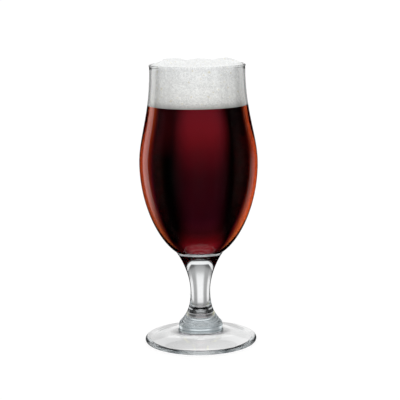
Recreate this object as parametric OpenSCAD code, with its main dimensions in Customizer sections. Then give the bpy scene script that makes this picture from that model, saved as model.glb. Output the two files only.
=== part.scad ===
// Stemmed tulip beer glass filled with dark ale under a thick head of foam.
// Every piece is turned about the upright axis, and the origin is the centre of the ring it rests on.

/* [Bowl] */
// Height of the bowl from its seam with the stem to the top of the rim
bowl_h = 133.8; // [120:0.1:145]
// Outer width of the bowl's root, where it is fused to the stem
root_d = 34.8; // [30:0.1:40]
// Rise of the outer wall at the root, from the level
root_angle = 36; // [30:1:48]
// Outer width of the belly at its widest ring
belly_d = 84.3; // [76:0.1:94]
// Height of the widest ring above the seam with the stem
belly_h = 63.8; // [56:0.1:72]
// Outer width of the neck, just under the rim
neck_d = 67.6; // [60:0.1:74]
// Distance from the top of the rim down to the neck
neck_drop = 2; // [1.6:0.1:4]
// Wall thickness at the neck
neck_wall = 1.4; // [1:0.1:2]
// Wall thickness at the belly
belly_wall = 1.8; // [1.2:0.1:2.8]
// Thickness of the bowl's floor over the solid stem
base_wall = 1.5; // [1.2:0.1:4]
// Wall thickness where the wall rises from the floor
root_wall = 2; // [1.6:0.1:3]
// Distance up the outer wall from the root to where the floor ends inside
floor_reach = 3; // [2:0.1:5]
// Thickness of the melted rim bead
bead_t = 1.7; // [1.4:0.1:2]
// How far the rim bead stands out past the neck
bead_proud = 0.3; // [0.1:0.1:0.6]

/* [Stem] */
// Height of the stem between its two seams
stem_h = 57.6; // [48:0.1:70]
// Width of the stem at its waist
waist_d = 14.2; // [11:0.1:18]
// Height of the waist above the foot
waist_h = 27.9; // [23:0.1:32]
// Rise of the upper flare where it meets the bowl, from the level
flare_angle = 52; // [45:1:60]
// Width of the shoulder at the bottom of the stem
shoulder_d = 31.6; // [29:0.1:35]
// Height of the upright wall under the shoulder
shoulder_h = 3.1; // [2:0.1:5]
// Radius of the rounding from the shoulder into the lower flare
shoulder_round = 4.6; // [3:0.1:6]
// Fall of the lower flare where it meets the shoulder, from the level
skirt_angle = 47; // [40:1:55]

/* [Foot] */
// Outer width of the foot
foot_d = 80.5; // [72:0.1:90]
// Height of the foot at its middle, where the stem stands on it
foot_h = 8.6; // [7:0.1:11]
// Width of the small rounding that leads from the stem into the foot's slope
collar_w = 1.8; // [1:0.1:3]
// Fall of that rounding
collar_drop = 0.7; // [0.4:0.1:1.2]
// Thickness of the foot's rounded edge
edge_t = 3.4; // [2.6:0.1:4]
// Fall of the foot's top where it meets the edge, from the level
edge_angle = 9; // [4:1:14]
// Width of the flat ring that the glass rests on
rest_w = 2.6; // [1.5:0.1:5]
// Height of the hollow under the middle of the foot
hollow_h = 6; // [3:0.1:6.4]
// Rise of the hollow from the resting ring, from the level
hollow_angle = 10; // [6:1:14]

/* [Drink] */
// Distance from the top of the rim down to the top of the ale
head_h = 28.5; // [15:0.1:45]
// Rise of the foam's dome above the rim at its middle
dome_h = 2.2; // [1.6:0.1:4]
// Height of the two largest lumps of foam above the rim
lump_h = 5; // [3.6:0.1:8]
// Clearance between the drink and the glass, so that the solids don't touch
wet_gap = 0.05; // [0.03:0.01:0.2]

/* [Hidden] */
$fn = 96;

// Pieces that a curve and a small arc are cut into
curve_steps = 20;
arc_steps = 10;

// Levels of the two seams, the belly, the neck, the rim and the drink
stem_z = foot_h;
bowl_z = stem_z + stem_h;
belly_z = bowl_z + belly_h;
rim_z = bowl_z + bowl_h;
neck_z = rim_z - neck_drop;
floor_z = bowl_z + base_wall;
beer_z = rim_z - head_h;

// How far each end of a curve keeps its direction, as shares of the curve's height or width
belly_to_neck_shares = [0.29, 0.50];
root_to_belly_shares = [0.26, 0.43];
inner_wall_shares = [0.20, 0.46];
floor_shares = [0.5, 0.22];
waist_to_root_shares = [0.40, 0.24];
waist_to_skirt_shares = [0.52, 0.32];
collar_shares = [0.4, 0.3];
foot_top_shares = [0.33, 0.33];
hollow_shares = [0.23, 0.3];

// Angles on the bead's section at which it leaves the outer wall and joins the inner wall
bead_from = -40;
bead_to = 220;

// Lumps of foam as shares: place to the right and to the back, half width, and height above the rim.
// The first three are of the mouth's radius, and the last is of the largest lump's height.
lump_shares = [
    [-0.50, -0.04, 0.46, 1],
    [0.60, 0.10, 0.39, 0.9],
    [0.06, 0.54, 0.38, 0.6],
    [0.12, -0.50, 0.42, 0.6]
];

// Points on a smooth curve from a to d that leaves towards b and arrives from c
function curve(a, b, c, d, steps) = [
    for (i = [0:steps])
        let (t = i / steps, s = 1 - t)
            s * s * s * a + 3 * s * s * t * b + 3 * s * t * t * c + t * t * t * d
];

// The point at a distance from another, in a direction given from the level
function from(p, angle, reach) = p + reach * [cos(angle), sin(angle)];

// Points on an arc
function arc(centre, r, a, b) = [
    for (i = [0:arc_steps]) from(centre, a + (b - a) * i / arc_steps, r)
];

// A list without its first point, or turned end for end
function rest(list) = [for (i = [1:len(list) - 1]) list[i]];
function turned(list) = [for (i = [len(list) - 1:-1:0]) list[i]];

// Outer wall of the bowl from the root over the belly to the neck
root = [root_d / 2, bowl_z];
belly = [belly_d / 2, belly_z];
neck = [neck_d / 2, neck_z];
neck_rise = neck_z - belly_z;
outer_wall = concat(
    curve(
        root,
        from(root, root_angle, root_to_belly_shares[0] * belly_h),
        belly - [0, root_to_belly_shares[1] * belly_h],
        belly,
        curve_steps
    ),
    rest(curve(
        belly,
        belly + [0, belly_to_neck_shares[0] * neck_rise],
        neck - [0, belly_to_neck_shares[1] * neck_rise],
        neck,
        curve_steps
    ))
);

// Inner wall: a shallow floor that turns up into the wall, then over the belly to the neck
bowl_floor = [0, floor_z];
wall_foot = from(from(root, root_angle, floor_reach), root_angle + 90, root_wall);
inner_belly = belly - [belly_wall, 0];
inner_neck = neck - [neck_wall, 0];
inner_rise = belly_z - wall_foot[1];
inner_wall = concat(
    curve(
        bowl_floor,
        bowl_floor + [floor_shares[0] * wall_foot[0], 0],
        from(wall_foot, root_angle + 180, floor_shares[1] * wall_foot[0]),
        wall_foot,
        arc_steps
    ),
    rest(curve(
        wall_foot,
        from(wall_foot, root_angle, inner_wall_shares[0] * inner_rise),
        inner_belly - [0, inner_wall_shares[1] * inner_rise],
        inner_belly,
        curve_steps
    )),
    rest(curve(
        inner_belly,
        inner_belly + [0, belly_to_neck_shares[0] * neck_rise],
        inner_neck - [0, belly_to_neck_shares[1] * neck_rise],
        inner_neck,
        curve_steps
    ))
);

// Section of the rim bead, from the outer wall over the top to the inner wall
bead_r = bead_t / 2;
bead = arc([neck[0] + bead_proud - bead_r, rim_z - bead_r], bead_r, bead_from, bead_to);

// The space inside the bowl, in from the wall by the drink's clearance, and its radius at a height
cavity = [for (p = inner_wall) [max(0, p[0] - wet_gap), p[1] + wet_gap]];
mouth_r = min(inner_neck[0], neck[0] + bead_proud - bead_t) - wet_gap;
function cavity_r(z) = lookup(z, [for (p = cavity) [p[1], p[0]]]);

// Blown bowl with a thick base and a melted rim
module bowl() {
    color([0.80, 0.88, 0.86, 0.35])
        rotate_extrude()
            polygon(concat(outer_wall, bead, turned(inner_wall), [[0, bowl_z]]));
}

// Solid stem, drawn in at the waist and flared out to the bowl above and to a round shoulder below
module stem() {
    waist = [waist_d / 2, stem_z + waist_h];
    shoulder_top = stem_z + shoulder_h;
    round_centre = [shoulder_d / 2 - shoulder_round, shoulder_top];
    skirt_end = from(round_centre, 90 - skirt_angle, shoulder_round);
    flare_rise = bowl_z - waist[1];
    skirt_fall = waist[1] - skirt_end[1];
    flare = curve(
        waist,
        waist + [0, waist_to_root_shares[0] * flare_rise],
        from(root, 180 + flare_angle, waist_to_root_shares[1] * flare_rise),
        root,
        curve_steps
    );
    skirt = curve(
        skirt_end,
        from(skirt_end, 180 - skirt_angle, waist_to_skirt_shares[1] * skirt_fall),
        waist - [0, waist_to_skirt_shares[0] * skirt_fall],
        waist,
        curve_steps
    );
    color([0.80, 0.88, 0.86, 0.35])
        rotate_extrude()
            polygon(concat(
                [[0, stem_z], [shoulder_d / 2, stem_z]],
                arc(round_centre, shoulder_round, 0, 90 - skirt_angle),
                rest(skirt),
                rest(flare),
                [[0, bowl_z]]
            ));
}

// Pressed round foot of even thickness: a sloping top with a small rounding round the stem, a
// round edge, a flat resting ring and a hollow below
module foot() {
    edge_r = edge_t / 2;
    edge_centre = [foot_d / 2 - edge_r, edge_r];
    seat = [shoulder_d / 2, foot_h];
    slope_top = seat + [collar_w, -collar_drop];
    edge_top = from(edge_centre, 90 - edge_angle, edge_r);
    slope = edge_top - slope_top;
    slope_w = slope[0];
    slope_angle = -atan2(slope[1], slope_w) * 2 - edge_angle;
    rest_in = edge_centre[0] - rest_w;
    collar = curve(
        seat,
        seat - [0, collar_shares[0] * collar_drop],
        from(slope_top, 180 - slope_angle, collar_shares[1] * collar_w),
        slope_top,
        arc_steps
    );
    top_side = curve(
        slope_top,
        from(slope_top, -slope_angle, foot_top_shares[0] * slope_w),
        from(edge_top, 180 - edge_angle, foot_top_shares[1] * slope_w),
        edge_top,
        curve_steps
    );
    underside = curve(
        [rest_in, 0],
        from([rest_in, 0], 180 - hollow_angle, hollow_shares[0] * rest_in),
        [hollow_shares[1] * rest_in, hollow_h],
        [0, hollow_h],
        curve_steps
    );
    color([0.80, 0.88, 0.86, 0.35])
        rotate_extrude()
            polygon(concat(
                [[0, foot_h]],
                collar,
                rest(top_side),
                rest(arc(edge_centre, edge_r, 90 - edge_angle, -90)),
                underside
            ));
}

// Ale that fills the bowl up to the foam
module beer() {
    color([0.34, 0.06, 0.06])
        rotate_extrude()
            polygon(concat(
                [for (p = cavity) if (p[1] < beer_z) p],
                [[cavity_r(beer_z), beer_z], [0, beer_z]]
            ));
}

// One lump of foam: the cap of a ball that stands on the level of the rim
module lump(place, half_width, height) {
    ball_r = (half_width * half_width + height * height) / (2 * height);
    translate([place[0], place[1], rim_z + height - ball_r])
        sphere(r = ball_r);
}

// Head of foam, shaped by the bowl up to the rim and standing above it in a low dome with lumps
module foam_head() {
    dome_r = (mouth_r * mouth_r + dome_h * dome_h) / (2 * dome_h);
    dome_edge = asin(mouth_r / dome_r);
    dome = arc([0, rim_z + dome_h - dome_r], dome_r, 90 - dome_edge, 90);
    color([0.95, 0.93, 0.88]) {
        rotate_extrude()
            polygon(concat(
                [[0, beer_z], [cavity_r(beer_z), beer_z]],
                [for (p = cavity) if (p[1] > beer_z && p[1] < neck_z) p],
                [[mouth_r, neck_z]],
                dome
            ));
        intersection() {
            translate([0, 0, neck_z])
                cylinder(h = neck_drop + 2 * lump_h, r = mouth_r);
            union()
                for (s = lump_shares)
                    lump(mouth_r * [s[0], s[1]], mouth_r * s[2], lump_h * s[3]);
        }
    }
}

bowl();
stem();
foot();
beer();
foam_head();
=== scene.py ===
import math

import bpy
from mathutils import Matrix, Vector, noise


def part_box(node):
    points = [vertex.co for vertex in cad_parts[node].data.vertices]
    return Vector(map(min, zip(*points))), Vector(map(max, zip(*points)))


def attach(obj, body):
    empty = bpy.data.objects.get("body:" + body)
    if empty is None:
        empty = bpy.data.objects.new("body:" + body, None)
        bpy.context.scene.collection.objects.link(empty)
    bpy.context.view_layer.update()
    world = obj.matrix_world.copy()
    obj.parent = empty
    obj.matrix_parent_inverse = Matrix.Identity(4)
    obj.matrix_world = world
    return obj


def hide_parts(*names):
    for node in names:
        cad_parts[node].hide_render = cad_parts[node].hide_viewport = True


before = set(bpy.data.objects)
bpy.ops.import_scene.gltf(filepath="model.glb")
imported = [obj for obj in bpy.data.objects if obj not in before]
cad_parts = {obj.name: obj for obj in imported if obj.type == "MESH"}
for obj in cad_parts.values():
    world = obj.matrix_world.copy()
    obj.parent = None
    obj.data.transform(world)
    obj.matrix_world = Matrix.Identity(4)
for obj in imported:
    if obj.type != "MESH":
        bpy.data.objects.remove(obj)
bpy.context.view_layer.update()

# The place of the photographer: a long lens, a little above the rim and about a metre away, held level
# but for the slight lean that the photo shows.
MM = 0.001
PHOTO_PX = 400
FOCAL_PX = 1301.6
CAMERA_BACK = 915 * MM
CAMERA_HEIGHT = 265.4 * MM
PITCH_DOWN = math.radians(10.055)
LEAN = math.radians(0.8)
AXIS_SHIFT_PX = 4.2
SENSOR_MM = 36

camera_data = bpy.data.cameras.new("photographer")
camera_data.sensor_width = SENSOR_MM
camera_data.lens = SENSOR_MM * FOCAL_PX / PHOTO_PX
camera_data.clip_start = 0.01
camera = bpy.data.objects.new("photographer", camera_data)
bpy.context.scene.collection.objects.link(camera)
camera.location = (AXIS_SHIFT_PX / FOCAL_PX * CAMERA_BACK, -CAMERA_BACK, CAMERA_HEIGHT)
camera.rotation_mode = "XYZ"
camera.rotation_euler = (math.pi / 2 - PITCH_DOWN, LEAN, 0)
bpy.context.scene.camera = camera

# The bowl is blown in clear soda-lime glass, with a thick base, thin walls and a rim melted to a small
# round bead. Its root is fused hot to the top of the stem. Below the foam its inner wall is wet with ale.
TURNS = 256
CURVE_STEPS = 48
FLOOR_STEPS = 24
ARC_STEPS = 16

RIM_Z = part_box("bowl")[1].z
ROOT_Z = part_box("bowl")[0].z
BELLY_R = 42.15 * MM
BELLY_H = 63.8 * MM
BELLY_Z = ROOT_Z + BELLY_H
ROOT_R = 17.4 * MM
ROOT_ANGLE = math.radians(36)
NECK_R = 33.8 * MM
NECK_Z = RIM_Z - 2 * MM
NECK_WALL = 1.4 * MM
BELLY_WALL = 1.8 * MM
BASE_WALL = 1.5 * MM
ROOT_WALL = 2.0 * MM
FLOOR_REACH = 3.0 * MM
BEAD_R = 0.85 * MM
BEAD_PROUD = 0.3 * MM
BEAD_FROM = -40
BEAD_TO = 220
ALE_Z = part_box("beer")[1].z
WALL_MARGIN = 0.1 * MM

# How far each end of a curve keeps its direction, as shares of the curve's height or width
LOWER_SHARES = (0.26, 0.43)
UPPER_SHARES = (0.29, 0.5)
INNER_SHARES = (0.2, 0.46)
FLOOR_SHARES = (0.5, 0.22)

GLASS_IOR = 1.52
ALE_IOR = 1.34
GLASS_TINT = (0.77, 0.86, 0.9, 1)
GLASS_TINT_DENSITY = 8


def curve(a, b, c, d, steps=CURVE_STEPS):
    """Points on a smooth curve from a to d that leaves towards b and arrives from c."""
    points = []
    for i in range(steps + 1):
        t = i / steps
        s = 1 - t
        weights = (s * s * s, 3 * s * s * t, 3 * s * t * t, t * t * t)
        points.append(tuple(sum(w * p[k] for w, p in zip(weights, (a, b, c, d))) for k in (0, 1)))
    return points


def from_point(p, angle, reach):
    """The point at a reach from p, at an angle from the level."""
    return (p[0] + reach * math.cos(angle), p[1] + reach * math.sin(angle))


def arc(centre, radius, start, end):
    """Points on an arc, from the start to the end angle in degrees."""
    angles = [math.radians(start + (end - start) * i / ARC_STEPS) for i in range(ARC_STEPS + 1)]
    return [from_point(centre, angle, radius) for angle in angles]


def turned_piece(name, runs):
    """Turns a section about the upright axis. A run is a list of (radius, height) points, its material,
    and whether it starts with a sharp edge. The runs go from the axis round to the axis again."""
    points, run_of = [runs[0][0][0]], []
    sharp_rings = []
    materials = []
    for run_points, run_material, sharp in runs:
        if run_material not in materials:
            materials.append(run_material)
        if sharp:
            sharp_rings.append(len(points) - 1)
        for p in run_points[1:]:
            points.append(p)
            run_of.append(materials.index(run_material))
    verts, rings = [], []
    for r, z in points:
        if r < 1e-7:
            rings.append([len(verts)] * TURNS)
            verts.append((0, 0, z))
        else:
            start = len(verts)
            rings.append(list(range(start, start + TURNS)))
            for k in range(TURNS):
                a = 2 * math.pi * k / TURNS
                verts.append((r * math.cos(a), r * math.sin(a), z))
    faces, face_materials = [], []
    for i, (low_ring, high_ring) in enumerate(zip(rings, rings[1:])):
        for k in range(TURNS):
            n = (k + 1) % TURNS
            corners = [low_ring[k], low_ring[n], high_ring[n], high_ring[k]]
            face = [v for j, v in enumerate(corners) if v != corners[j - 1]]
            if len(face) > 2:
                faces.append(face)
                face_materials.append(run_of[i])
    mesh = bpy.data.meshes.new(name)
    mesh.from_pydata(verts, [], faces)
    for m in materials:
        mesh.materials.append(m)
    mesh.polygons.foreach_set("material_index", face_materials)
    mesh.polygons.foreach_set("use_smooth", [True] * len(faces))
    sharp_keys = set()
    for i in sharp_rings:
        ring = rings[i]
        for k in range(TURNS):
            sharp_keys.add(tuple(sorted((ring[k], ring[(k + 1) % TURNS]))))
    flags = [tuple(sorted(e.vertices)) in sharp_keys for e in mesh.edges]
    attribute = mesh.attributes.new("sharp_edge", "BOOLEAN", "EDGE")
    attribute.data.foreach_set("value", flags)
    mesh.validate()
    piece = bpy.data.objects.new(name, mesh)
    bpy.context.scene.collection.objects.link(piece)
    return piece


def radius_at(points, z):
    """The radius of a wall at a height."""
    for a, b in zip(points, points[1:]):
        if a[1] <= z <= b[1]:
            return a[0] + (b[0] - a[0]) * (z - a[1]) / (b[1] - a[1])
    return points[-1][0]


def new_material(name):
    """An empty material, its node tree and its output."""
    made = bpy.data.materials.new(name)
    made.use_nodes = True
    made.node_tree.nodes.clear()
    return made, made.node_tree, made.node_tree.nodes.new("ShaderNodeOutputMaterial")


def see_into(tree, out, colour, density):
    """Light loses colour on its way through the piece."""
    absorb = tree.nodes.new("ShaderNodeVolumeAbsorption")
    absorb.inputs["Color"].default_value = colour
    absorb.inputs["Density"].default_value = density
    tree.links.new(absorb.outputs[0], out.inputs["Volume"])


def clear_glass(name, ior):
    """Smooth, faintly tinted glass that bends light by ior."""
    made, tree, out = new_material(name)
    shader = tree.nodes.new("ShaderNodeBsdfPrincipled")
    shader.inputs["Base Color"].default_value = (1, 1, 1, 1)
    shader.inputs["Roughness"].default_value = 0
    shader.inputs["IOR"].default_value = ior
    shader.inputs["Transmission Weight"].default_value = 1
    tree.links.new(shader.outputs[0], out.inputs["Surface"])
    see_into(tree, out, GLASS_TINT, GLASS_TINT_DENSITY)
    return made


glass = clear_glass("clear_glass", GLASS_IOR)
wet_glass = clear_glass("glass_against_ale", GLASS_IOR / ALE_IOR)

# Where two glass pieces are fused, light goes straight on
seam, tree, out = new_material("fused_seam")
shader = tree.nodes.new("ShaderNodeBsdfTransparent")
tree.links.new(shader.outputs[0], out.inputs["Surface"])
see_into(tree, out, GLASS_TINT, GLASS_TINT_DENSITY)

root = (ROOT_R, ROOT_Z)
belly = (BELLY_R, BELLY_Z)
neck = (NECK_R, NECK_Z)
neck_rise = NECK_Z - BELLY_Z
lower_wall = curve(
    root,
    from_point(root, ROOT_ANGLE, LOWER_SHARES[0] * BELLY_H),
    (BELLY_R, BELLY_Z - LOWER_SHARES[1] * BELLY_H),
    belly,
)
upper_wall = curve(
    belly,
    (BELLY_R, BELLY_Z + UPPER_SHARES[0] * neck_rise),
    (NECK_R, NECK_Z - UPPER_SHARES[1] * neck_rise),
    neck,
)
bead_centre = (NECK_R + BEAD_PROUD - BEAD_R, RIM_Z - BEAD_R)
bead = [neck] + arc(bead_centre, BEAD_R, BEAD_FROM, BEAD_TO)
inner_belly = (BELLY_R - BELLY_WALL, BELLY_Z)
inner_neck = (NECK_R - NECK_WALL, NECK_Z)
bowl_floor = (0, ROOT_Z + BASE_WALL)
wall_foot = from_point(from_point(root, ROOT_ANGLE, FLOOR_REACH), ROOT_ANGLE + math.pi / 2, ROOT_WALL)
inner_rise = BELLY_Z - wall_foot[1]
inner_floor = curve(
    bowl_floor,
    (FLOOR_SHARES[0] * wall_foot[0], bowl_floor[1]),
    from_point(wall_foot, ROOT_ANGLE + math.pi, FLOOR_SHARES[1] * wall_foot[0]),
    wall_foot,
    FLOOR_STEPS,
)
inner_lower = curve(
    wall_foot,
    from_point(wall_foot, ROOT_ANGLE, INNER_SHARES[0] * inner_rise),
    (inner_belly[0], BELLY_Z - INNER_SHARES[1] * inner_rise),
    inner_belly,
)
inner_upper = curve(
    inner_belly,
    (inner_belly[0], BELLY_Z + UPPER_SHARES[0] * neck_rise),
    (inner_neck[0], NECK_Z - UPPER_SHARES[1] * neck_rise),
    inner_neck,
)
inner_wall = inner_floor + inner_lower[1:] + inner_upper[1:]
ale_edge = (radius_at(inner_wall, ALE_Z), ALE_Z)
dry_wall = [ale_edge] + [p for p in inner_wall if p[1] > ALE_Z + WALL_MARGIN]
wet_wall = [p for p in inner_wall if p[1] < ALE_Z - WALL_MARGIN] + [ale_edge]
bowl = turned_piece(
    "bowl_glass",
    [
        ([(0, ROOT_Z), root], seam, False),
        (lower_wall, glass, True),
        (upper_wall, glass, False),
        (bead, glass, False),
        ([bead[-1]] + dry_wall[::-1], glass, False),
        (wet_wall[::-1], wet_glass, False),
    ],
)
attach(bowl, "root")
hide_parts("bowl")

# The stem is solid glass, pressed in a mould: drawn in at the waist, flared out to the bowl above, and
# ending below in a round shoulder that is fused to the foot.
STEM_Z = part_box("stem")[0].z
WAIST_R = 7.1 * MM
WAIST_Z = STEM_Z + 27.9 * MM
FLARE_ANGLE = math.radians(52)
SKIRT_ANGLE = 47
SHOULDER_R = 15.8 * MM
SHOULDER_ROUND = 4.6 * MM
SHOULDER_TOP = STEM_Z + 3.1 * MM
FLARE_SHARES = (0.40, 0.24)
SKIRT_SHARES = (0.32, 0.52)

waist = (WAIST_R, WAIST_Z)
flare_rise = ROOT_Z - WAIST_Z
flare = curve(
    waist,
    (WAIST_R, WAIST_Z + FLARE_SHARES[0] * flare_rise),
    from_point(root, math.pi + FLARE_ANGLE, FLARE_SHARES[1] * flare_rise),
    root,
)
round_centre = (SHOULDER_R - SHOULDER_ROUND, SHOULDER_TOP)
shoulder = arc(round_centre, SHOULDER_ROUND, 0, 90 - SKIRT_ANGLE)
skirt_end = shoulder[-1]
skirt_fall = WAIST_Z - skirt_end[1]
skirt = curve(
    skirt_end,
    from_point(skirt_end, math.radians(180 - SKIRT_ANGLE), SKIRT_SHARES[0] * skirt_fall),
    (WAIST_R, WAIST_Z - SKIRT_SHARES[1] * skirt_fall),
    waist,
)
stem = turned_piece(
    "stem_glass",
    [
        ([(0, STEM_Z), (SHOULDER_R, STEM_Z)], seam, False),
        ([(SHOULDER_R, STEM_Z)] + shoulder, glass, True),
        (skirt, glass, False),
        (flare, glass, False),
        ([root, (0, ROOT_Z)], seam, True),
    ],
)
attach(stem, "root")
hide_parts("stem")

# The foot is a disc of pressed glass: its top slopes down from the seat of the stem to a round edge, and a
# shallow hollow under it leaves a flat ring to rest on.
FOOT_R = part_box("foot")[1].x
COLLAR_W = 1.8 * MM
COLLAR_DROP = 0.7 * MM
COLLAR_SHARES = (0.4, 0.3)
COLLAR_STEPS = 10
SLOPE_ANGLE = math.radians(15.06)
SLOPE_SHARE = 0.33
EDGE_R = 1.7 * MM
EDGE_SLOPE = 9
REST_W = 2.6 * MM
HOLLOW_H = 6 * MM
HOLLOW_ANGLE = 10
HOLLOW_SHARES = (0.23, 0.3)

edge_centre = (FOOT_R - EDGE_R, EDGE_R)
seat = (SHOULDER_R, STEM_Z)
slope_top = (seat[0] + COLLAR_W, seat[1] - COLLAR_DROP)
edge = arc(edge_centre, EDGE_R, -90, 90 - EDGE_SLOPE)
edge_top = edge[-1]
slope_w = edge_top[0] - slope_top[0]
rest_in = edge_centre[0] - REST_W
collar = curve(
    seat,
    (seat[0], seat[1] - COLLAR_SHARES[0] * COLLAR_DROP),
    from_point(slope_top, math.pi - SLOPE_ANGLE, COLLAR_SHARES[1] * COLLAR_W),
    slope_top,
    COLLAR_STEPS,
)
slope = curve(
    slope_top,
    from_point(slope_top, -SLOPE_ANGLE, SLOPE_SHARE * slope_w),
    from_point(edge_top, math.radians(180 - EDGE_SLOPE), SLOPE_SHARE * slope_w),
    edge_top,
)
foot_top = collar + slope[1:]
underside = curve(
    (rest_in, 0),
    from_point((rest_in, 0), math.radians(180 - HOLLOW_ANGLE), HOLLOW_SHARES[0] * rest_in),
    (HOLLOW_SHARES[1] * rest_in, HOLLOW_H),
    (0, HOLLOW_H),
)
foot = turned_piece(
    "foot_glass",
    [
        (underside[::-1], glass, False),
        ([(rest_in, 0), (edge_centre[0], 0)], glass, True),
        (edge, glass, False),
        (foot_top[::-1], glass, False),
        ([seat, (0, STEM_Z)], seam, True),
    ],
)
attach(foot, "root")
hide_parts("foot")

# The ale fills the bowl up to the foam. It is a clear red-brown, so dark that only thin stretches of it
# glow. A hair's breadth between it and the wall keeps the two surfaces apart.
WET_GAP = 0.05 * MM
ALE_COLOUR = (0.783, 0.133, 0.183, 1)
ALE_DENSITY = 60

ale_liquid, tree, out = new_material("dark_ale")
shader = tree.nodes.new("ShaderNodeBsdfTransparent")
tree.links.new(shader.outputs[0], out.inputs["Surface"])
see_into(tree, out, ALE_COLOUR, ALE_DENSITY)

ale_wall = [(max(0, p[0] - WET_GAP), p[1] + WET_GAP) for p in wet_wall]
ale_wall[-1] = (ale_edge[0] - WET_GAP, ALE_Z - WET_GAP)
ale = turned_piece(
    "ale",
    [
        (ale_wall, ale_liquid, False),
        ([ale_wall[-1], (0, ale_wall[-1][1])], ale_liquid, True),
    ],
)
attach(ale, "root")
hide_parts("beer")

# The head of foam is a mass of fine bubbles: the bowl shapes it up to the rim, and it stands above the rim
# in low soft lumps. Larger bubbles sit on its top. Its colour holds painted shade: darker where it lies on
# the ale, which takes the light from below, and a little darker on its top.
# Heights above the rim are in millimetres.
DOME_H = 2.2
LUMP_H = 5
# Lumps as shares: place to the right and to the back, half width, and height
LUMPS = [
    (-0.50, -0.04, 0.46, 1),
    (0.60, 0.10, 0.39, 0.9),
    (0.36, 0.08, 0.34, 0.62),
    (0.06, 0.54, 0.38, 0.6),
    (0.12, -0.50, 0.42, 0.6),
]
RUN_TOGETHER = 2.2
SINK = 0.55
FROTH_H = 0.275
EDGE_DIP = 1.5
EDGE_SHARE = 0.07
FROTH_SIZE = 3.4 * MM
TOP_RINGS = 64
MOUTH_R = NECK_R - NECK_WALL - WET_GAP

# Painted shade in the foam's colour, by height above the ale: dark on the ale, lightest a little below the
# rim, and a little darker on the top
PAINTED_SHADE_H = 32 * MM
PAINTED_SHADE_BY_HEIGHT = [(0, 0.33), (0.031, 0.47), (0.125, 0.74), (0.225, 0.83), (0.41, 0.88), (0.78, 0.9), (0.9, 0.83)]
CELLS_PER_METRE = 1250
CELL_TONES = (0.86, 1.15)
PATCHES_PER_METRE = 420
PATCH_TONES = (0.96, 1.06)
SPECK_COLOUR = (0.62, 0.55, 0.34, 1)


def foam_top(x, y):
    """Height of the foam above the rim: a low dome and its lumps, run softly together, with fine froth."""
    u, v = x / MOUTH_R, y / MOUTH_R
    away = math.hypot(u, v)
    heights = [DOME_H * (1 - away ** 4)]
    for at_x, at_y, half_width, share in LUMPS:
        d = math.hypot(u - at_x, v - at_y) / half_width
        heights.append(LUMP_H * share * max(0, 1 - d * d))
    soft = math.log(sum(math.exp(RUN_TOGETHER * h) for h in heights)) / RUN_TOGETHER - SINK
    froth = FROTH_H * noise.fractal(Vector((x, y, 0)) / FROTH_SIZE, 0.7, 2.1, 4)
    edge_share = min(1, (1 - away) / EDGE_SHARE)
    return (soft + froth) * edge_share * MM - EDGE_DIP * MM * (1 - edge_share) ** 2


def spread(value, value_range, result_range):
    """A value carried over from one range to another."""
    node = tree.nodes.new("ShaderNodeMapRange")
    tree.links.new(value, node.inputs["Value"])
    node.inputs["From Min"].default_value, node.inputs["From Max"].default_value = value_range
    node.inputs["To Min"].default_value, node.inputs["To Max"].default_value = result_range
    return node.outputs["Result"]


def scaled(colour, factor):
    """A colour made darker or lighter."""
    node = tree.nodes.new("ShaderNodeVectorMath")
    node.operation = "SCALE"
    tree.links.new(colour, node.inputs[0])
    tree.links.new(factor, node.inputs["Scale"])
    return node.outputs[0]


def cloud(detail):
    """Soft patches all through the foam, from 0 to 1."""
    node = tree.nodes.new("ShaderNodeTexNoise")
    node.inputs["Scale"].default_value = PATCHES_PER_METRE
    node.inputs["Detail"].default_value = detail
    tree.links.new(place.outputs["Object"], node.inputs["Vector"])
    return node.outputs["Fac"]


def new_ramp(value, stops):
    """A ramp that follows a value, given as (value, colour) stops."""
    node = tree.nodes.new("ShaderNodeValToRGB")
    tree.links.new(value, node.inputs["Fac"])
    ramp = node.color_ramp
    while len(ramp.elements) < len(stops):
        ramp.elements.new(0.5)
    for element, (position, colour) in zip(ramp.elements, stops):
        element.position = position
        element.color = colour
    return node.outputs["Color"]


def mixed_colour(share, if_none, if_full):
    """One colour where the share is 0, the other where it is 1."""
    node = tree.nodes.new("ShaderNodeMix")
    node.data_type = "RGBA"
    tree.links.new(share, node.inputs["Factor"])
    for socket, colour in ((node.inputs["A"], if_none), (node.inputs["B"], if_full)):
        if isinstance(colour, tuple):
            socket.default_value = colour
        else:
            tree.links.new(colour, socket)
    return node.outputs["Result"]


foam_froth, tree, out = new_material("ale_foam")
shader = tree.nodes.new("ShaderNodeBsdfPrincipled")
shader.inputs["Roughness"].default_value = 0.75
shader.inputs["IOR"].default_value = 1.33
place = tree.nodes.new("ShaderNodeTexCoord")
level = tree.nodes.new("ShaderNodeSeparateXYZ")
tree.links.new(place.outputs["Object"], level.inputs[0])
rise = spread(level.outputs["Z"], (ALE_Z, ALE_Z + PAINTED_SHADE_H), (0, 1))
# Painted shade by height, darkest on the ale; a trace of yellow low down, and of green and blue towards the
# top
shade_and_tone = new_ramp(rise, [(at, (t * (1 - 0.012 * at), t, t * (0.97 + 0.03 * at), 1)) for at, t in PAINTED_SHADE_BY_HEIGHT])
cells = tree.nodes.new("ShaderNodeTexVoronoi")
cells.inputs["Scale"].default_value = CELLS_PER_METRE
tree.links.new(place.outputs["Object"], cells.inputs["Vector"])
shade_and_tone = scaled(shade_and_tone, spread(cells.outputs["Color"], (0, 1), CELL_TONES))
shade_and_tone = scaled(shade_and_tone, spread(cloud(2), (0.3, 0.7), PATCH_TONES))
few_specks = spread(cloud(1), (0.66, 0.74), (0, 0.5))
tree.links.new(mixed_colour(few_specks, shade_and_tone, SPECK_COLOUR), shader.inputs["Base Color"])
bump = tree.nodes.new("ShaderNodeBump")
bump.inputs["Strength"].default_value = 0.35
bump.inputs["Distance"].default_value = 0.25 * MM
bump.invert = True
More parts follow.
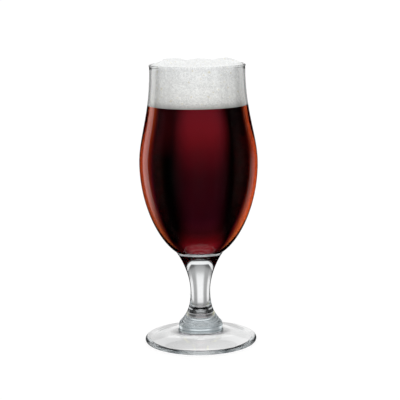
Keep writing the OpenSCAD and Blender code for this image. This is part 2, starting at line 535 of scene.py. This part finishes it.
tree.links.new(cells.outputs["Distance"], bump.inputs["Height"])
tree.links.new(bump.outputs["Normal"], shader.inputs["Normal"])
tree.links.new(shader.outputs[0], out.inputs["Surface"])

foam_side = [(ale_edge[0] - WET_GAP, ALE_Z)]
foam_side += [(p[0] - WET_GAP, p[1]) for p in dry_wall[1:] if p[1] < NECK_Z - WALL_MARGIN]
top_rings = [(MOUTH_R * (1 - i / TOP_RINGS), RIM_Z) for i in range(TOP_RINGS + 1)]
foam = turned_piece(
    "foam_head_mass",
    [
        ([(0, ALE_Z), foam_side[0]], foam_froth, False),
        (foam_side, foam_froth, True),
        ([foam_side[-1]] + top_rings, foam_froth, False),
    ],
)
for v in foam.data.vertices:
    if v.co.z > RIM_Z - 0.01 * MM:
        v.co.z = RIM_Z + foam_top(v.co.x, v.co.y)

# Large bubbles strewn over the top of the foam
group = bpy.data.node_groups.new("foam_bubbles", "GeometryNodeTree")
group.interface.new_socket("Geometry", in_out="INPUT", socket_type="NodeSocketGeometry")
settings = []
for label, kind, value in (
    ("Lowest Level", "NodeSocketFloat", RIM_Z + 0.4 * MM),
    ("Bubbles per Square Metre", "NodeSocketFloat", 110000),
    ("Smallest Radius", "NodeSocketFloat", 0.16 * MM),
    ("Largest Radius", "NodeSocketFloat", 0.5 * MM),
    ("Seed", "NodeSocketInt", 7),
    ("Material", "NodeSocketMaterial", foam_froth),
):
    socket = group.interface.new_socket(label, in_out="INPUT", socket_type=kind)
    settings.append((socket.identifier, value))
group.interface.new_socket("Geometry", in_out="OUTPUT", socket_type="NodeSocketGeometry")
source = group.nodes.new("NodeGroupInput")
result = group.nodes.new("NodeGroupOutput")
position = group.nodes.new("GeometryNodeInputPosition")
split = group.nodes.new("ShaderNodeSeparateXYZ")
above = group.nodes.new("FunctionNodeCompare")
above.data_type = "FLOAT"
above.operation = "GREATER_THAN"
strew = group.nodes.new("GeometryNodeDistributePointsOnFaces")
ball = group.nodes.new("GeometryNodeMeshIcoSphere")
ball.inputs["Radius"].default_value = 1
ball.inputs["Subdivisions"].default_value = 2
each = group.nodes.new("FunctionNodeRandomValue")
each.data_type = "FLOAT"
place_balls = group.nodes.new("GeometryNodeInstanceOnPoints")
real = group.nodes.new("GeometryNodeRealizeInstances")
smooth = group.nodes.new("GeometryNodeSetShadeSmooth")
coat = group.nodes.new("GeometryNodeSetMaterial")
join = group.nodes.new("GeometryNodeJoinGeometry")
for output, taken_by in (
    (position.outputs[0], split.inputs[0]),
    (split.outputs["Z"], above.inputs["A"]),
    (source.outputs["Lowest Level"], above.inputs["B"]),
    (source.outputs["Geometry"], strew.inputs["Mesh"]),
    (above.outputs[0], strew.inputs["Selection"]),
    (source.outputs["Bubbles per Square Metre"], strew.inputs["Density"]),
    (source.outputs["Seed"], strew.inputs["Seed"]),
    (source.outputs["Seed"], each.inputs["Seed"]),
    (source.outputs["Smallest Radius"], each.inputs[2]),
    (source.outputs["Largest Radius"], each.inputs[3]),
    (strew.outputs["Points"], place_balls.inputs["Points"]),
    (ball.outputs["Mesh"], place_balls.inputs["Instance"]),
    (each.outputs[1], place_balls.inputs["Scale"]),
    (place_balls.outputs[0], real.inputs[0]),
    (real.outputs[0], smooth.inputs["Geometry"]),
    (smooth.outputs[0], coat.inputs["Geometry"]),
    (source.outputs["Material"], coat.inputs["Material"]),
    (source.outputs["Geometry"], join.inputs[0]),
    (coat.outputs[0], join.inputs[0]),
    (join.outputs[0], result.inputs[0]),
):
    group.links.new(output, taken_by)
modifier = foam.modifiers.new("foam_bubbles", "NODES")
modifier.node_group = group
for identifier, value in settings:
    modifier[identifier] = value
bpy.context.view_layer.update()
seen = foam.evaluated_get(bpy.context.evaluated_depsgraph_get())
whole = bpy.data.meshes.new_from_object(seen)
foam.modifiers.clear()
foam.data = whole
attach(foam, "root")
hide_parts("foam_head")

# A plain pale table top that keeps a faint shadow of the glass. Through the glass and in its polish the
# studio shows in its place.
TABLE_HALF = 15
TABLE_GREY = 0.25
TABLE_GLOW = 0.77


def level_sheet(name, half, z, coat_of):
    """A flat square sheet, level with the table."""
    sheet_mesh = bpy.data.meshes.new(name)
    corners = [(-half, -half, z), (half, -half, z), (half, half, z), (-half, half, z)]
    sheet_mesh.from_pydata(corners, [], [(0, 1, 2, 3)])
    sheet_mesh.materials.append(coat_of)
    sheet = bpy.data.objects.new(name, sheet_mesh)
    bpy.context.scene.collection.objects.link(sheet)
    return sheet


pale_top, tree, out = new_material("table_top")
diffuse = tree.nodes.new("ShaderNodeBsdfDiffuse")
diffuse.inputs["Color"].default_value = (TABLE_GREY, TABLE_GREY, TABLE_GREY, 1)
emission = tree.nodes.new("ShaderNodeEmission")
emission.inputs["Color"].default_value = (1, 1, 1, 1)
emission.inputs["Strength"].default_value = TABLE_GLOW
both = tree.nodes.new("ShaderNodeAddShader")
tree.links.new(diffuse.outputs[0], both.inputs[0])
tree.links.new(emission.outputs[0], both.inputs[1])
tree.links.new(both.outputs[0], out.inputs["Surface"])
table = level_sheet("table_top", TABLE_HALF, 0, pale_top)
table.visible_transmission = False
table.visible_glossy = False

# The studio: an even white room for the camera and for matt surfaces. Through the glass it shows as tall
# white panels with dark gaps between them, and in the polish as two tall soft boxes behind the glass.
# Headings and heights are in degrees: 0 is straight behind and level, and right and up count as plus.
STRAIGHT_IN_FRONT = 180
HEIGHT_SPAN = 180
PANEL_HALF_STEP = 22.5
BAR_GLOW = 1.02
FRONT_DARKNESS = 0.95
PATCH_GLOW = 0.7
FLAG_DARKNESS = 0.85
LEFT_BOX_GLOW = 2.3
RIGHT_BOX_GLOW = 1.15
FAR_STRIP_GLOW = 0.9
LEFT_BOX_IN_POLISH = 1.05
RIGHT_BOX_IN_POLISH = 0.32
CEILING_GLOW = 0.85
WALL_GLOW = 0.9
SURFACES_BEFORE_ALE = 2.5
LOWEST_THROUGH_ALE = -28
AMBER = (1, 0.95, 0.2, 1)
BACK_PALE = (1, 0.75, 1.05, 1)
BACK_BLUISH = (1.08, 0.95, 2.3, 1)
BACK_RED = (1, 0.2, 0.3, 1)

world = bpy.data.worlds.new("studio")
bpy.context.scene.world = world
world.use_nodes = True
tree = world.node_tree
tree.nodes.clear()


def number(operation, *values):
    """One step of arithmetic on numbers or sockets."""
    node = tree.nodes.new("ShaderNodeMath")
    node.operation = operation
    for i, v in enumerate(values):
        if isinstance(v, (int, float)):
            node.inputs[i].default_value = v
        else:
            tree.links.new(v, node.inputs[i])
    return node.outputs[0]


def product(first, *others):
    """All the values multiplied."""
    for other in others:
        first = number("MULTIPLY", first, other)
    return first


def rest_of(share):
    """What a share leaves of the whole."""
    return number("SUBTRACT", 1, share)


def off(value, centre):
    """How far a value is from a centre, to either side."""
    return number("ABSOLUTE", number("SUBTRACT", value, centre))


def step_down(value, full, none):
    """1 up to full, 0 past none, smooth between."""
    node = tree.nodes.new("ShaderNodeMapRange")
    node.interpolation_type = "SMOOTHSTEP"
    tree.links.new(value, node.inputs["Value"])
    node.inputs["From Min"].default_value = full
    node.inputs["From Max"].default_value = none
    node.inputs["To Min"].default_value = 1
    node.inputs["To Max"].default_value = 0
    return node.outputs["Result"]


def step_up(value, none, full):
    """0 up to none, 1 past full, smooth between."""
    return rest_of(step_down(value, none, full))


def blend(share, if_none, if_full):
    """One brightness where the share is 0, the other where it is 1."""
    node = tree.nodes.new("ShaderNodeMix")
    node.data_type = "FLOAT"
    for socket, value in zip((node.inputs[0], node.inputs[2], node.inputs[3]), (share, if_none, if_full)):
        if isinstance(value, (int, float)):
            socket.default_value = value
        else:
            tree.links.new(value, socket)
    return node.outputs[0]


def by_height(stops):
    """A brightness that follows the height, given as (height, brightness) stops."""
    along = number("ADD", number("DIVIDE", height, HEIGHT_SPAN), 0.5)
    return new_ramp(along, [(at / HEIGHT_SPAN + 0.5, (bright, bright, bright, 1)) for at, bright in stops])


direction = tree.nodes.new("ShaderNodeTexCoord")
aim = tree.nodes.new("ShaderNodeSeparateXYZ")
tree.links.new(direction.outputs["Generated"], aim.inputs[0])
path = tree.nodes.new("ShaderNodeLightPath")
to_degrees = 180 / math.pi
heading = product(number("ARCTAN2", aim.outputs["X"], aim.outputs["Y"]), to_degrees)
height = product(number("ARCSINE", aim.outputs["Z"]), to_degrees)
side_heading = number("ABSOLUTE", heading)
left_side = number("LESS_THAN", heading, 0)

# Clear glass: a white room with greyer gaps between its panels, dark only high behind and close below
off_panel = number("PINGPONG", heading, PANEL_HALF_STEP)
clear_panel = by_height([
    (-90, 0.5), (-74, 0.5), (-67, 0.04), (-42, 0.04), (-36, 0.3), (-31, 0.45), (-27, 0.85), (-19, 1),
    (-8, 1), (0, 0.98), (5, 0.9), (11, 0.55), (16, 0.43), (20, 0.32), (27, 0.1), (36, 0.06), (43, 0.65),
    (90, 0.9),
])
clear_dark = by_height([
    (-90, 0.5), (-74, 0.42), (-60, 0.1), (-45, 0.3), (-30, 0.32), (-20, 0.38), (-8, 0.42), (5, 0.42),
    (12, 0.42), (16, 0.33), (19, 0.17), (30, 0.17), (35, 0.1), (38, 0.1), (44, 0.62), (60, 0.8), (90, 0.9),
])
clear_view = blend(step_down(off_panel, 18, 8), clear_panel, clear_dark)
# A bright bar high behind, bowed a little in each panel
bar_height = number("SUBTRACT", height, product(off_panel, off_panel, 0.008))
bar = product(step_down(bar_height, 30, 32), step_up(bar_height, 19.5, 21.5))
clear_view = number("MAXIMUM", clear_view, product(bar, BAR_GLOW))
# The photographer's side is dark low down
low_share = number("ADD", 0.4, product(step_down(height, -50, -40), 0.6))
front_dark = product(step_up(side_heading, 100, 125), step_up(height, -79, -72), low_share)
clear_view = product(clear_view, rest_of(product(front_dark, FRONT_DARKNESS)))
# A pale patch low at each side
side_patch = product(step_down(off(side_heading, 84), 9, 16), step_down(off(height, -46), 9, 15))
clear_view = number("MAXIMUM", clear_view, product(side_patch, PATCH_GLOW))
# Dark flags to the sides, a little behind and a little in front
flag = step_down(off(number("PINGPONG", heading, 90), 67.5), 7, 12)
clear_view = product(clear_view, rest_of(product(flag, FLAG_DARKNESS)))

# Ale: one panel behind and one in front, bright low down, dim at mid height and paler again high up
narrowing = by_height([
    (-30, 0.76), (-18, 0.8), (-10, 0.96), (6, 0.96), (12, 0.8), (20, 0.64), (40, 0.64),
])
off_back = off(heading, -2)
off_front = number("ABSOLUTE", number("SUBTRACT", STRAIGHT_IN_FRONT, side_heading))
ale_panel = step_down(product(number("MINIMUM", off_back, off_front), narrowing), 4, 15)
ale_light = by_height([
    (-90, 0.4), (-30, 0.72), (-17, 0.72), (-15, 0.48), (-13, 0.38), (-10, 0.24), (-7.5, 0.145),
    (-5, 0.085), (0, 0.072), (3, 0.066), (6, 0.088), (9, 0.09), (11, 0.13), (13, 0.2), (16, 0.27),
    (18, 0.38), (22, 0.45), (50, 0.3),
])
ale_dark = by_height([(-90, 0.3), (-40, 0.2), (-25, 0.02), (-18, 0), (20, 0), (40, 0.1), (90, 0.3)])
ale_view = blend(ale_panel, ale_dark, ale_light)
# A faint glow low down to the right of the panel behind
ale_tail = by_height([(-35, 0.05), (-24, 0.07), (-16, 0.05), (-10, 0)])
ale_view = number("MAXIMUM", ale_view, product(ale_tail, step_down(off(heading, 14), 8, 15)))
# A tall soft box at each side behind. The left one leans, and is the brighter.
capped = number("MINIMUM", height, 12)
slanted = number("ADD", side_heading, product(capped, 0.25))
slanted = number("ADD", slanted, product(number("MAXIMUM", capped, 0), 0.35))
left_box = product(step_up(slanted, 31, 60), LEFT_BOX_GLOW)
right_box = product(step_up(side_heading, 26, 46), RIGHT_BOX_GLOW)
boxes = product(blend(left_side, right_box, left_box), step_down(side_heading, 70, 86))
ale_view = number("MAXIMUM", ale_view, boxes)
# A narrow strip at each side in front
far_strip = step_down(off(side_heading, 136), 5, 12)
ale_view = number("MAXIMUM", ale_view, product(far_strip, FAR_STRIP_GLOW))

# Light that has crossed several surfaces has come through the ale, or from far below by the bowl's base
deep = number("GREATER_THAN", path.outputs["Transmission Depth"], SURFACES_BEFORE_ALE)
low = number("LESS_THAN", height, LOWEST_THROUGH_ALE)
low_view = by_height([(-90, 0.1), (-76, 0.1), (-60, 0.05), (-52, 0.5), (-44, 0.5), (-37, 0.08), (-28, 0.3)])
through = blend(deep, clear_view, blend(low, ale_view, low_view))

# In the polish: the two tall boxes, the ceiling, and the white wall where the eye grazes the edge
tall = product(step_down(height, 20, 45), step_up(height, -34, -14))
box_level = blend(left_side, product(step_down(height, -9, 1), RIGHT_BOX_IN_POLISH), LEFT_BOX_IN_POLISH)
strip = product(step_down(off(side_heading, blend(left_side, 51, 54)), 8, 14), box_level)
ceiling = product(step_down(height, 85, 50), CEILING_GLOW)
mirrored = number("ADD", product(strip, tall), ceiling)
white_wall = product(step_down(side_heading, 8, 15), tall, WALL_GLOW)
mirrored = number("MAXIMUM", mirrored, white_wall)

# Matt surfaces: even light, stronger from above and from the front and back than from the sides
facing = product(aim.outputs["Y"], aim.outputs["Y"])
soft_light = number("ADD", product(facing, 2.45), product(aim.outputs["Z"], 0.2))
soft_light = number("MAXIMUM", number("ADD", 0.33, soft_light), 0.15)

# The camera itself sees plain white
scattered = number("GREATER_THAN", path.outputs["Diffuse Depth"], 0.5)
light = blend(path.outputs["Is Glossy Ray"], soft_light, mirrored)
light = blend(path.outputs["Is Transmission Ray"], light, through)
light = blend(scattered, light, soft_light)
light = blend(path.outputs["Is Camera Ray"], light, 1.0)

# Through the ale the side boxes are amber. The panel behind is bluish at mid height and red high up.
straight = product(path.outputs["Is Transmission Ray"], rest_of(scattered))
through_ale = product(deep, rest_of(low), straight)
amber_share = product(through_ale, step_up(side_heading, 25, 31), step_down(side_heading, 78, 92))
side_tint = mixed_colour(amber_share, (1, 1, 1, 1), AMBER)
mid_share = by_height([(-14, 0), (-10, 0.2), (-7, 0.45), (-4, 0.9), (0, 1), (4, 1), (9, 0)])
back_tint = mixed_colour(mid_share, BACK_PALE, BACK_BLUISH)
back_tint = mixed_colour(step_up(height, 8, 14), back_tint, BACK_RED)
back_share = product(through_ale, step_down(side_heading, 26, 34))
background = tree.nodes.new("ShaderNodeBackground")
tree.links.new(mixed_colour(back_share, side_tint, back_tint), background.inputs["Color"])
tree.links.new(light, background.inputs["Strength"])
world_out = tree.nodes.new("ShaderNodeOutputWorld")
tree.links.new(background.outputs[0], world_out.inputs["Surface"])

# Through the foot the table shows a little shaded: a pale card that only such rays meet, brighter at the
# right and at the front. Measures on it are in millimetres from the upright axis.
CARD_HALF = 60 * MM
CARD_Z = -0.5 * MM
CARD_GLOW = 0.77
CARD_GLOW_TO_RIGHT = 0.003
CARD_GLOW_IN_FRONT = 0.25

card_coat, tree, out = new_material("shaded_table")
place = tree.nodes.new("ShaderNodeTexCoord")
split = tree.nodes.new("ShaderNodeSeparateXYZ")
tree.links.new(place.outputs["Object"], split.inputs[0])
ray = tree.nodes.new("ShaderNodeLightPath")
to_right = product(split.outputs["X"], 1000)
to_front = product(split.outputs["Y"], -1000)
from_axis = number("SQRT", number("ADD", number("POWER", to_right, 2), number("POWER", to_front, 2)))
glow = number("ADD", CARD_GLOW, product(to_right, CARD_GLOW_TO_RIGHT))
glow = number("ADD", glow, product(step_down(to_front, 33, 27), CARD_GLOW_IN_FRONT))
emission = tree.nodes.new("ShaderNodeEmission")
tree.links.new(glow, emission.inputs["Strength"])
clear = tree.nodes.new("ShaderNodeBsdfTransparent")
fade = tree.nodes.new("ShaderNodeMixShader")
behind = product(step_down(number("ABSOLUTE", to_right), 22, 30), step_down(to_front, -8, 2))
not_mirrored = number("LESS_THAN", ray.outputs["Glossy Depth"], 0.5)
card_share = product(step_down(from_axis, 42, 55), step_up(from_axis, 2, 4), rest_of(behind), not_mirrored)
tree.links.new(card_share, fade.inputs[0])
tree.links.new(clear.outputs[0], fade.inputs[1])
tree.links.new(emission.outputs[0], fade.inputs[2])
tree.links.new(fade.outputs[0], out.inputs["Surface"])
card = level_sheet("shaded_table", CARD_HALF, CARD_Z, card_coat)
card.visible_camera = False
card.visible_diffuse = False
card.visible_glossy = False
card.visible_shadow = False

# Light crosses many walls of glass on its way through, so it may bend and bounce often
scene = bpy.context.scene
scene.view_settings.view_transform = "Standard"
scene.cycles.max_bounces = 24
scene.cycles.transmission_bounces = 24
scene.cycles.glossy_bounces = 12
scene.cycles.transparent_max_bounces = 24
scene.cycles.diffuse_bounces = 4
scene.cycles.caustics_refractive = True
scene.cycles.caustics_reflective = True
scene.cycles.use_denoising = True
